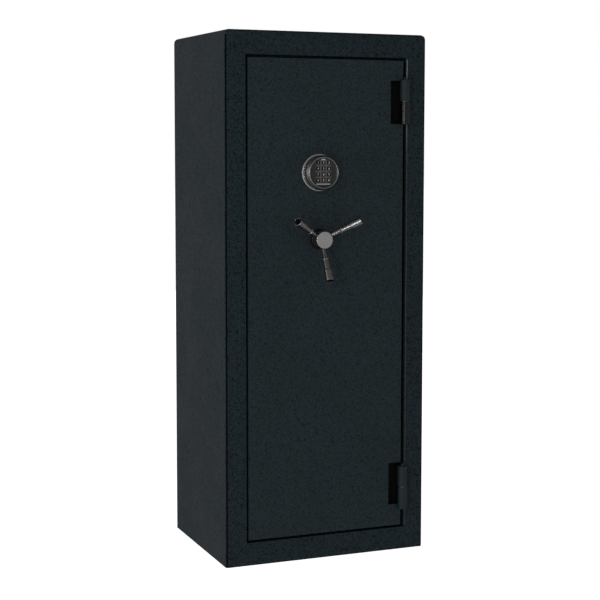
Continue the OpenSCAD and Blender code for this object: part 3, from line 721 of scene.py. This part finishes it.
def make_pins():
    bm = bmesh.new()
    for low, high in PINS:
        length = high.z - low.z
        profile = [(0, 0), (PIN_R, 0), (PIN_R, length - 6 * MM), (PIN_R - 0.4 * MM, length - 5.2 * MM)]
        profile += [(2.8 * MM, length - 0.8 * MM), (2.0 * MM, length), (0, length)]
        add_lathe(bm, profile, Matrix.Translation((HINGE_X, HINGE_Y, low.z)), 40)
    piece("hinge_pins_skin", bm, "safe_body", "hinge_paint", ["hinge_pins"])


def make_washers():
    bm = bmesh.new()
    for low, high in solids("hinge_washers"):
        knuckle(bm, low.z, high.z, PIN_R, (high.x - low.x) / 2, 0.3 * MM)
    piece("hinge_washers_skin", bm, "safe_body", "hard_steel", ["hinge_washers"])


def make_hinges():
    make_frame_knuckles()
    make_door_knuckles()
    make_pins()
    make_washers()


# ---------------------------------------------------------------- handle


SPOKE_TURNS = (30, 150, 270)
SPOKE_RISE = math.radians(29.5)
SPOKE_ROOT = (14 * MM, 0, 27 * MM)


def spoke_matrix(turn):
    """Matrix at a spoke's root whose Z axis runs along the spoke."""
    return (
        outwards(LOCK_X, HANDLE_Z)
        @ Matrix.Rotation(math.radians(turn), 4, "Z")
        @ Matrix.Translation(SPOKE_ROOT)
        @ Matrix.Rotation(math.pi / 2 - SPOKE_RISE, 4, "Y")
    )


def spoke_profile():
    """Half outline of a spoke: taper, bead, swell, step and a grip with a dished end."""
    points = [(0, 4), (5, 4), (5, 17), (6.0, 17), (6.15, 17.4), (7.4, 41.2), (8.0, 42.2)]
    points += arc(7.6, 45.5, 2.1, -70, 70, 8)
    points += [(7.9, 49.2), (8.1, 51), (9.2, 76.5), (9.5, 78.2), (10.3, 79.3), (10.8, 80.2), (11.6, 108.4)]
    points += arc(10.4, 110.3, 1.3, -10, 90, 6)
    points += [(9.8, 111.3), (9.7, 109.2), (0, 109.2)]
    return in_mm(points)


def plug_profile():
    """Half outline of the plug pressed into a spoke's end."""
    return in_mm([(0, 109.3), (9.6, 109.3), (9.6, 110.9), (9.1, 111.3), (6, 111.6), (0, 111.7)])


def make_boss():
    """Round escutcheon on the door behind the handle."""
    bm = bmesh.new()
    profile = [(8.3, 0), (29, 0), (29, 3.2)] + arc(28.2, 3.2, 0.8, 0, 80, 3)
    profile += [(27.2, 5), (26.6, 6.2), (26.2, 10.6)] + arc(24.2, 10.8, 2.1, 0, 90, 6) + [(8.3, 13)]
    closed_lathe(bm, in_mm(profile), outwards(LOCK_X, HANDLE_Z), 128)
    piece("handle_boss_skin", bm, "door", "dark_chrome", ["handle_boss"])


def make_hub():
    """Hub with its round front disc, bored from behind for the shaft."""
    bm = bmesh.new()
    profile = [(8.0, 13.5), (20.2, 13.5)] + arc(20.2, 15.2, 1.7, -90, 0, 5) + [(21.9, 37.2)]
    profile += arc(23.0, 38.3, 1.1, 180, 90, 3)[1:] + arc(23.2, 40.6, 1.0, -90, 0, 3)[1:]
    profile += [(24.2, 43.2)] + arc(22.5, 43.2, 1.7, 0, 90, 6)[1:]
    profile += [(22.2, 44.9), (21.9, 44.8), (0, 44.8), (0, 34), (8.0, 34)]
    closed_lathe(bm, in_mm(profile), outwards(LOCK_X, HANDLE_Z), 128)
    piece("handle_hub_skin", bm, "handle", "satin_nickel", ["handle_hub"])


def make_spokes():
    bm = bmesh.new()
    for turn in SPOKE_TURNS:
        add_lathe(bm, spoke_profile(), spoke_matrix(turn), 64)
    piece("handle_spokes_skin", bm, "handle", "satin_nickel", ["handle_spokes"], finish="polished_nickel")
    bm = bmesh.new()
    for turn in SPOKE_TURNS:
        add_lathe(bm, plug_profile(), spoke_matrix(turn), 48)
    piece("handle_spoke_plugs", bm, "handle", "seal")


def make_handle():
    make_boss()
    make_hub()
    make_spokes()


# ---------------------------------------------------------------- keypad


SIGNS = {"key_star": "*", "key_hash": "#"}
SIGN_SIZE = 9.4 * MM
STAR_SIZE = 11.5 * MM
KEY_HALF = 5.25 * MM
KEY_HOLE_HALF = 5.6 * MM
FACE_H = 32 * MM
XS, ZS = zip(*((box_centre(key).x, box_centre(key).z) for key in KEYS))
KEYS_MID_X = (min(XS) + max(XS)) / 2


def rounded_square(bm, half_w, half_h, corner, z_low, z_high, place, top_round=0.0):
    """Upright prism with round corners, and a rounded top edge if top_round says so."""
    steps = 4
    least_r = 1e-5
    levels = [(0.0, z_low)]
    if top_round:
        for degrees in range(0, 91, 90 // steps):
            a = math.radians(degrees)
            levels.append((top_round * (1 - math.cos(a)), z_high - top_round * (1 - math.sin(a))))
    else:
        levels.append((0.0, z_high))
    rings = []
    for inset, height in levels:
        ring = []
        for quarter, (sx, sy) in enumerate(((1, 1), (-1, 1), (-1, -1), (1, -1))):
            for i in range(steps + 1):
                a = math.radians(quarter * 90 + 90 * i / steps)
                r = max(corner - inset, least_r)
                cx = sx * (half_w - inset - r)
                cy = sy * (half_h - inset - r)
                corner_at = Vector((cx + r * math.cos(a), cy + r * math.sin(a), height))
                ring.append(bm.verts.new(place @ corner_at))
        rings.append(ring)
    for one, two in zip(rings, rings[1:]):
        for i in range(len(one)):
            j = (i + 1) % len(one)
            bm.faces.new((one[i], one[j], two[j], two[i]))
    bm.faces.new(list(reversed(rings[0])))
    bm.faces.new(rings[-1])


def digit_mesh(bm, text, size, depth, place):
    """Adds the outline of one digit or sign as a thin raised solid."""
    bolder = 0.018
    curve = bpy.data.curves.new("digit", "FONT")
    curve.body = text
    curve.size = size
    curve.extrude = depth
    curve.align_x = "CENTER"
    curve.align_y = "CENTER"
    curve.resolution_u = 3
    curve.offset = size * bolder
    obj = bpy.data.objects.new("digit", curve)
    bpy.context.scene.collection.objects.link(obj)
    bpy.context.view_layer.update()
    graph = bpy.context.evaluated_depsgraph_get()
    mesh = bpy.data.meshes.new_from_object(obj.evaluated_get(graph))
    xs = [v.co.x for v in mesh.vertices]
    ys = [v.co.y for v in mesh.vertices]
    middle = Vector(((min(xs) + max(xs)) / 2, (min(ys) + max(ys)) / 2, 0))
    mesh.transform(place @ Matrix.Translation(-middle))
    bm.from_mesh(mesh)
    bpy.data.objects.remove(obj)
    bpy.data.meshes.remove(mesh)


def key_at(key):
    """Matrix at the door's face under a key, whose Z axis points out of the door."""
    centre = box_centre(key)
    return outwards(centre.x, centre.z)


def make_keys():
    flange_h = DOOR_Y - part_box("keypad_face")[0].y - 3.05 * MM
    flange_half = KEY_HALF + 1.2 * MM
    for key in KEYS:
        low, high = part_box(key)
        front = DOOR_Y - low.y
        back = DOOR_Y - high.y
        bm = bmesh.new()
        rounded_square(bm, KEY_HALF, KEY_HALF, 1.3 * MM, flange_h, front, key_at(key), 0.7 * MM)
        rounded_square(bm, flange_half, flange_half, 0.8 * MM, back, flange_h, key_at(key))
        piece(key + "_cap", bm, key, "key_rubber", [key], weighted=False)
        bm = bmesh.new()
        sign = SIGNS.get(key, key[-1])
        size = STAR_SIZE if sign == "*" else SIGN_SIZE
        digit_mesh(bm, sign, size, 0.1 * MM, key_at(key) @ Matrix.Translation((0, 0, front)))
        piece(key + "_sign", bm, key, "light_lens", weighted=False)


def make_keypad_base():
    bm = bmesh.new()
    profile = [(5, 0), (52.5, 0), (52.5, 1.8)] + arc(50.9, 1.8, 1.6, 0, 80, 6)
    profile += [(49.8, 3.7), (49.2, 4), (5, 4)]
    closed_lathe(bm, in_mm(profile), outwards(LOCK_X, KEYPAD_Z), 160)
    piece("keypad_base_skin", bm, "door", "satin_nickel", ["keypad_base"])


def make_keypad_housing():
    """Drum of the keypad, cut open below for the battery tray."""
    bm = bmesh.new()
    profile = [(5, 5.5), (5, 4), (46, 4), (46, 6)] + arc(48.4, 6.6, 0.6, -90, 0, 3)
    profile += arc(47.6, 25.4, 1.4, 0, 32, 4) + arc(42.9, 34.9, 1.1, 32, 90, 5)
    profile += [(42.4, 35.8), (42.1, 35.4), (42, 34.4), (42, 32), (44.1, 32), (44.1, 5.5)]
    closed_lathe(bm, in_mm(profile), outwards(LOCK_X, KEYPAD_Z), 160)
    drum = loose(bm, "drum")
    tray_low, tray_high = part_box("battery_tray")
    gap = 0.3 * MM
    slot_low = (tray_low.x - gap, tray_low.y - gap, tray_low.z - 20 * MM)
    slot_high = (tray_high.x + gap, tray_high.y + gap, tray_high.z + gap)
    cut(drum, tool_box(slot_low, slot_high))
    piece("keypad_housing_skin", from_object(drum), "door", "satin_nickel", ["keypad_housing"])


def key_holes():
    """Tool that cuts the openings of all the keys."""
    bm = bmesh.new()
    for key in KEYS:
        depth = (FACE_H - 12 * MM, FACE_H + 8 * MM)
        rounded_square(bm, KEY_HOLE_HALF, KEY_HOLE_HALF, 1.4 * MM, *depth, key_at(key))
    return loose(bm)


def make_keypad_face():
    bm = bmesh.new()
    profile = [(0, 29), (43.9, 29), (43.9, 32), (42, 32), (41.9, 34.2), (41.2, 34.2)]
    profile += [(40.2, 33.0), (38.0, 32.15), (36.0, 32.0), (0, 32.0)]
    add_lathe(bm, in_mm(profile), outwards(LOCK_X, KEYPAD_Z), 128)
    face = loose(bm, "face")
    cut(face, key_holes())
    light_low, light_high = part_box("keypad_light")
    cut(face, tool_box(light_low - Vector((0, 2 * MM, 0)), light_high))
    piece("keypad_face_skin", from_object(face), "door", "keypad_black", ["keypad_face"])


def make_key_grid():
    """Pale raised frame round the keys."""
    border = 6.6 * MM
    half_w = (max(XS) - min(XS)) / 2 + border
    half_h = (max(ZS) - min(ZS)) / 2 + border
    middle = outwards(KEYS_MID_X, (min(ZS) + max(ZS)) / 2)
    bm = bmesh.new()
    rounded_square(bm, half_w, half_h, 3 * MM, FACE_H - 0.1 * MM, FACE_H + 0.5 * MM, middle, 0.2 * MM)
    grid = loose(bm, "grid")
    cut(grid, key_holes())
    piece("key_grid", from_object(grid), "door", "battery_case")


def make_key_ledge_highlight():
    """Pale strip under the keys: a painted highlight for the lit lower ledge of the key plate."""
    bm = bmesh.new()
    at = outwards(KEYS_MID_X, min(ZS) - 10.6 * MM)
    rounded_square(bm, 21 * MM, 1.5 * MM, 1.2 * MM, FACE_H - 0.1 * MM, FACE_H + 0.7 * MM, at, 0.3 * MM)
    piece("key_bar", bm, "door", "light_lens")


def make_keypad():
    make_keypad_base()
    make_keypad_housing()
    make_keypad_face()
    make_key_grid()
    make_key_ledge_highlight()
    refine("keypad_light", 0.3 * MM)
    make_keys()


# ---------------------------------------------------------------- door


def along_x(x, y, z):
    """Matrix at a point whose Z axis points to the right."""
    return Matrix.Translation((x, y, z)) @ Matrix.Rotation(math.pi / 2, 4, "Y")


def inwards(x, y, z):
    """Matrix at a point whose Z axis points into the safe."""
    return Matrix.Translation((x, y, z)) @ Matrix.Rotation(-math.pi / 2, 4, "X")


def make_live_bolts():
    """Live bolts on the opening side, each with a stem through the carriage and a head behind it."""
    bar_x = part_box("bolt_carriage")[0].x
    neck_r, head_r, head_edge_r = 6 * MM, 10 * MM, 9.4 * MM
    bm = bmesh.new()
    for low, high in solids("live_bolts"):
        r = (high.z - low.z) / 2
        length = high.x - low.x
        stem = bar_x - low.x
        head = stem + 14 * MM
        profile = [(0, 0), (r - 2 * MM, 0), (r - 1.2 * MM, 0.3 * MM), (r, 2 * MM), (r, stem)]
        profile += [(neck_r, stem), (neck_r, head), (head_edge_r, head), (head_r, head + 0.6 * MM)]
        profile += [(head_r, length - 0.6 * MM), (head_edge_r, length), (0, length)]
        add_lathe(bm, profile, along_x(low.x, (low.y + high.y) / 2, (low.z + high.z) / 2), 72)
    piece("live_bolts_skin", bm, "carriage", "bare_steel", ["live_bolts"])


def make_dead_bolts():
    """Fixed bolts on the hinge side, each with a flange inside the bolt box's wall."""
    bolt_r = 12 * MM
    bm = bmesh.new()
    for low, high in solids("dead_bolts"):
        wide = (high.z - low.z) / 2
        length = high.x - low.x
        profile = [(0, 0), (wide - 0.5 * MM, 0), (wide, 0.5 * MM), (wide, 4 * MM), (bolt_r, 4 * MM)]
        profile += [(bolt_r, length - 2 * MM), (bolt_r - 0.8 * MM, length - 0.8 * MM)]
        profile += [(bolt_r - 2 * MM, length), (0, length)]
        add_lathe(bm, profile, along_x(low.x, (low.y + high.y) / 2, (low.z + high.z) / 2), 72)
    piece("dead_bolts_skin", bm, "door", "bare_steel", ["dead_bolts"])


def make_cover_screws():
    """Domed screws with a round recess, which hold the back cover to the bolt box."""
    bm = bmesh.new()
    for low, high in solids("cover_screws"):
        length = high.y - low.y
        r = (high.x - low.x) / 2 / MM
        head = [(r, -2), (r, -1.6), (4.9, -0.5), (3.4, 0), (1.8, 0), (1.5, -1.2), (0, -1.6)]
        profile = [(0, 0), (2.5 * MM, 0)] + [(a * MM, length + b * MM) for a, b in head]
        add_lathe(bm, profile, inwards((low.x + high.x) / 2, low.y, (low.z + high.z) / 2), 32)
    piece("cover_screws_skin", bm, "door", "bare_steel", ["cover_screws"])


def notch_painted_shade(name, low, high):
    """Thin near-black sheet on the back and three sides of a hinge's notch in the door: painted shade."""
    t = 0.4 * MM
    front = DOOR_Y + 1.6 * MM
    bm = bmesh.new()
    add_box(bm, (low.x, high.y - t, low.z), (high.x, high.y, high.z))
    add_box(bm, (low.x, front, low.z), (low.x + t, high.y - t, high.z))
    add_box(bm, (low.x + t, front, low.z), (high.x, high.y - t, low.z + t))
    add_box(bm, (low.x + t, front, high.z - t), (high.x, high.y - t, high.z))
    piece(name, bm, "door", "inner_steel")


def make_notches():
    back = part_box("door_knuckles")[1].y
    left = OPENING_HIGH.x - 49 * MM
    right = DOOR_HIGH.x - 0.3 * MM
    height = 123 * MM
    lifts = (("low", 12 * MM), ("high", 2 * MM))
    for solid, (name, lift) in zip(solids("frame_knuckles"), lifts):
        foot = solid[0].z + lift
        corners = Vector((left, DOOR_Y, foot)), Vector((right, back, foot + height))
        notch_painted_shade("notch_painted_shade_" + name, *corners)


def thick(obj, thickness):
    """Gives a single-sided cloth its thickness."""
    solid = obj.modifiers.new("thickness", "SOLIDIFY")
    solid.thickness = thickness
    solid.offset = 0


def sew_grid(bm, rows):
    """Faces between rows of as many points each."""
    for one, two in zip(rows, rows[1:]):
        for i in range(len(one) - 1):
            bm.faces.new((one[i], two[i], two[i + 1], one[i + 1]))


def pocket_front(low, high):
    """Bowed cloth front of one pocket: sewn down at its sides and foot, open at its top."""
    width, depth, height = high - low
    across, up = 28, 20
    front_gap, bow = 0.8 * MM, depth - 2.2 * MM
    mouth_dip = 6 * MM
    bm = bmesh.new()
    rows = []
    for j in range(up + 1):
        v = j / up
        row = []
        for i in range(across + 1):
            u = i / across
            side = 1 - abs(2 * u - 1) ** 5
            foot = 1 - (1 - v) ** 6
            sag = 0.75 + 0.25 * v + 0.06 * math.sin(9 * u + 5 * v + low.x * 40)
            y = low.y + front_gap + bow * side * foot * min(sag, 1)
            dip = mouth_dip * v ** 6 * math.sin(math.pi * u)
            row.append(bm.verts.new((low.x + u * width, y, low.z + v * height - dip)))
        rows.append(row)
    sew_grid(bm, rows)
    return bm, rows


def pocket_hem(rows):
    """Band along a pocket's mouth, just behind its cloth."""
    bm = bmesh.new()
    behind = Vector((0, 0.7 * MM, 0))
    sew_grid(bm, [[bm.verts.new(vert.co + behind) for vert in row] for row in rows[-3:]])
    return bm


def make_pockets():
    for number, (low, high) in enumerate(solids("door_pockets"), 1):
        bm, rows = pocket_front(low, high)
        area = sum(face.calc_area() for face in bm.faces)
        edge = piece("pocket_hem_%d" % number, pocket_hem(rows), "door", "seal", weighted=False)
        thick(edge, 1.2 * MM)
        cloth = piece("pocket_%d" % number, bm, "door", "pocket_cloth", ["door_pockets"], weighted=False)
        thick(cloth, 1.0 * MM)


def make_door():
    refine("door_plate", 1.5 * MM, 3)
    make_notches()
    refine("bolt_box", 0.8 * MM)
    refine("door_cover", 2.4 * MM, 3)
    make_live_bolts()
    make_dead_bolts()
    make_cover_screws()
    make_pockets()
    refine("lock_case", 1.2 * MM, 3)
    refine("battery_tray", 0.6 * MM)
    refine("battery", 1.5 * MM, 3)


def make_interior():
    for node in ("wall_liners", "floor_liner"):
        refine(node, 0.8 * MM)
    for node in ("top_shelf", "side_shelves", "divider", "barrel_rack"):
        refine(node, 2.5 * MM, 3)
    refine("stock_rest", 7 * MM, 4)


# ---------------------------------------------------------------- studio


WHITE = (1, 1, 1, 1)
FLOOR_HALF = 30


def make_stage():
    """White floor that takes the object's shadow but throws no light back on it."""
    bm = bmesh.new()
    bmesh.ops.create_grid(bm, x_segments=1, y_segments=1, size=FLOOR_HALF)
    floor = loose(bm, "floor")
    n = Nodes("floor")
    n.shader.inputs["Emission Color"].default_value = WHITE
    n.shader.inputs["Emission Strength"].default_value = 0.9
    floor.data.materials.append(n.finish((0.9, 0.9, 0.9, 1), 0.9, Specular_IOR_Level=0.0))
    floor.visible_glossy = False
    floor.visible_diffuse = False
    floor.visible_shadow = False


def make_world():
    """Plain colours, a white backdrop, and a grey dome of light, brightest in front and low down."""
    scene = bpy.context.scene
    scene.view_settings.view_transform = "Standard"
    scene.view_settings.look = "None"
    world = bpy.data.worlds.new("studio")
    world.use_nodes = True
    tree = world.node_tree

    def add(kind):
        return tree.nodes.new("ShaderNode" + kind)

    backdrop = tree.nodes["Background"]
    backdrop.inputs["Color"].default_value = WHITE
    backdrop.inputs["Strength"].default_value = 1.0
    light = add("Background")
    light.inputs["Color"].default_value = WHITE
    way = add("SeparateXYZ")
    front, rise = add("MapRange"), add("MapRange")
    set_range(front, -0.9, 0.9, 0.44, 0.26)
    set_range(rise, 0.1, 0.85, 1.1, 0.35)
    both = add("Math")
    both.operation = "MULTIPLY"
    path, mix = add("LightPath"), add("MixShader")
    for source, target in (
        (add("TexCoord").outputs["Generated"], way.inputs[0]),
        (way.outputs["Y"], front.inputs["Value"]),
        (way.outputs["Z"], rise.inputs["Value"]),
        (front.outputs["Result"], both.inputs[0]),
        (rise.outputs["Result"], both.inputs[1]),
        (both.outputs[0], light.inputs["Strength"]),
        (path.outputs["Is Camera Ray"], mix.inputs["Fac"]),
        (light.outputs[0], mix.inputs[1]),
        (backdrop.outputs[0], mix.inputs[2]),
        (mix.outputs[0], tree.nodes["World Output"].inputs["Surface"]),
    ):
        tree.links.new(source, target)
    scene.world = world


def area_light(name, at, aim, size, power, size_y=None):
    """Soft light at a place, aimed at a point and hidden from the camera; power in watts."""
    data = bpy.data.lights.new(name, "AREA")
    data.energy = power
    data.shape = "RECTANGLE"
    data.size = size
    data.size_y = size_y or size
    light = bpy.data.objects.new(name, data)
    light.location = at
    light.rotation_euler = (Vector(aim) - Vector(at)).to_track_quat("-Z", "Y").to_euler()
    light.visible_camera = False
    bpy.context.scene.collection.objects.link(light)


def make_lights():
    area_light("key", (-1.0, -6.5, 6.0), (0, 0, 0.7), 7.0, 15)
    area_light("left", (-6.0, 1.0, 1.8), (0, 0, 0.7), 5.0, 68)
    area_light("left_strip", (-1.9, -2.3, 0.9), (0, -0.2, 0.75), 0.12, 22, 2.6)
    area_light("back", (3.4, 5.2, 2.4), (0, 0.2, 0.7), 5.0, 60)


make_body()
make_hinges()
make_door()
make_interior()
make_handle()
make_keypad()
make_stage()
make_world()
make_lights()
